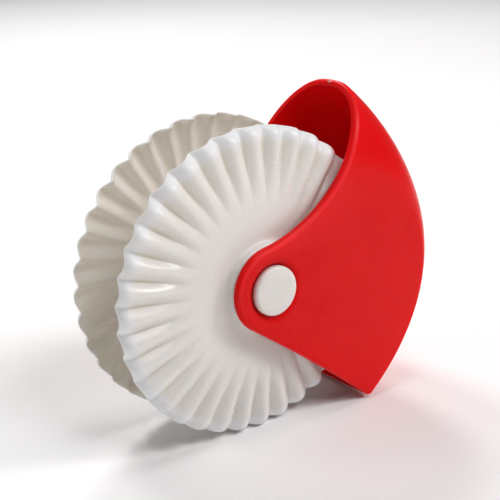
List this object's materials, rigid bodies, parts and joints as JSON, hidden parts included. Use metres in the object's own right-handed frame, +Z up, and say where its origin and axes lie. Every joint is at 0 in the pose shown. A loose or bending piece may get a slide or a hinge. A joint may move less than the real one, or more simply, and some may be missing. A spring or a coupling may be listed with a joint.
{
  "type": "pastry cutter wheel",
  "caption": "Hand pastry cutter: twin fluted discs on one axle under a curved palm hood, rolled over dough to cut a strip with wavy edges.",
  "frame": {"origin": "on the table, under the middle of the part's bounding box, in the middle plane between the two wheels", "axes": "+Y along the axle, +X from the wheels towards the palm side of the hood, +Z up; the part stands on both wheels and on the hood's lower edge"},
  "size_m": [0.1028, 0.0418, 0.0906],
  "materials": {
    "red_plastic": "satin moulded polypropylene",
    "white_plastic": "satin moulded plastic, slightly warm white"
  },
  "bodies": {
    "handle": {"handle_shell": "red_plastic", "axle_tube": "white_plastic", "front_cap": "white_plastic", "rear_cap": "white_plastic"},
    "wheel_set": {"front_wheel": "white_plastic", "rear_wheel": "white_plastic", "hub_sleeve": "white_plastic"}
  },
  "joints": [
    {"name": "wheel_spin", "type": "hinge", "parent": "handle", "child": "wheel_set", "pos_m": [-0.00919, 0, 0.04225], "axis": [0, 1, 0], "continuous": true}
  ]
}
